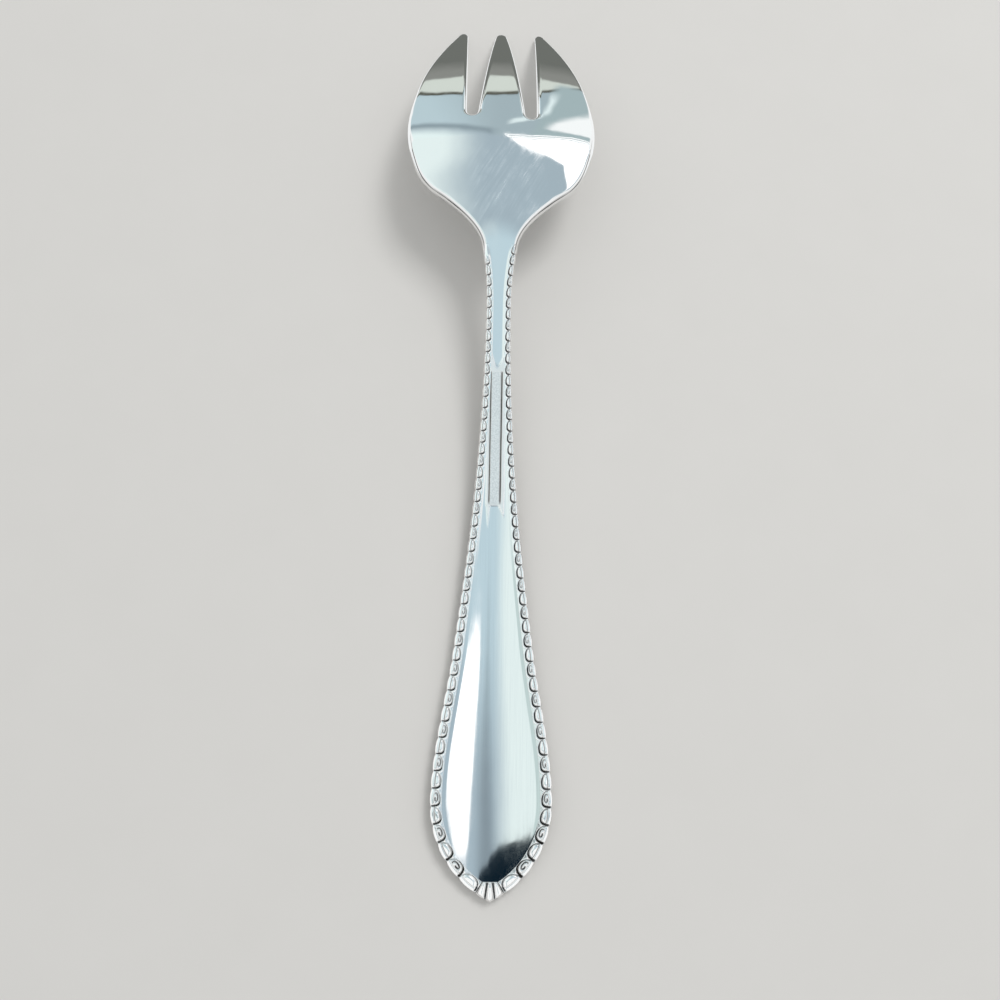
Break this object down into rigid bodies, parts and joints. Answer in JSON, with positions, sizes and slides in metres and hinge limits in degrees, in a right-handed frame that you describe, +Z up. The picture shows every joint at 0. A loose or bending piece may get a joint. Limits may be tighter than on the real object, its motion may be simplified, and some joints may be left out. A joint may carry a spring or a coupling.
{
  "type": "cold meat fork",
  "caption": "Serving fork for cold meat: a broad domed head with pointed tines, a slender stem and a leaf-shaped hollow-backed handle edged with a beaded border and a fluted shell at its tip",
  "frame": {"origin": "Middle of the footprint on the surface that the fork lies on, face down", "axes": "+Y along the fork toward the tines, +X across it to the right with the back upward, +Z up"},
  "size_m": [0.0428, 0.2047, 0.0193],
  "materials": {
    "field_metal": "polished, with fine lengthwise polishing marks",
    "border_metal": "polished relief with darker grooves",
    "head_metal": "mirror polished, with fine slanting scratches"
  },
  "bodies": {
    "root": {"tip_shell": "border_metal", "handle": "field_metal", "left_border": "border_metal", "right_border": "border_metal", "stem": "field_metal", "bowl": "head_metal", "left_tine": "head_metal", "middle_tine": "head_metal", "right_tine": "head_metal"}
  },
  "joints": []
}
